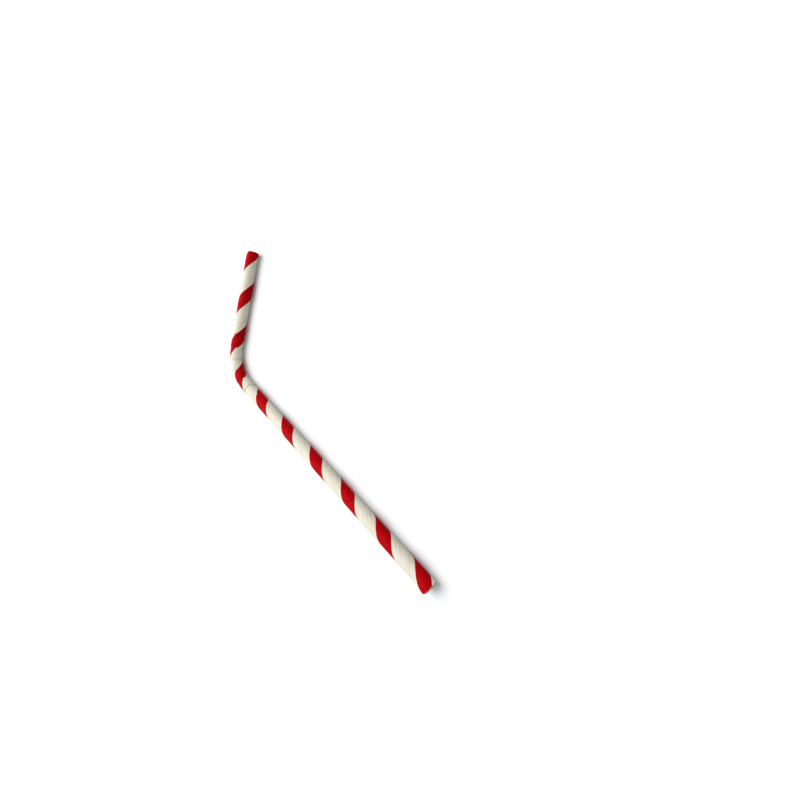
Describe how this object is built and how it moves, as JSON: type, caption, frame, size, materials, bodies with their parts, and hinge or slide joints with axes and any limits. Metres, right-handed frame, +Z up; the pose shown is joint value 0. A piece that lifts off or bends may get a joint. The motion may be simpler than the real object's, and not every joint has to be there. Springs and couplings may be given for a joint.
{
  "type": "bendy paper drinking straw",
  "caption": "Bendy paper drinking straw with a spiral stripe, creased below its short arm and bent there, lying on its side.",
  "frame": {"origin": "middle of the straw's box, on the surface that it lies on", "axes": "+X along the long arm towards the foot, +Y towards the side that the short arm bends to, +Z up"},
  "size_m": [0.1714, 0.0562, 0.0059],
  "materials": {
    "white_paper": "matt wound paper, warm white",
    "red_print": "deep red ink printed on the outer paper, nearly matt"
  },
  "bodies": {
    "root": {"paper_tube": "white_paper", "printed_stripe": "red_print"}
  },
  "joints": []
}
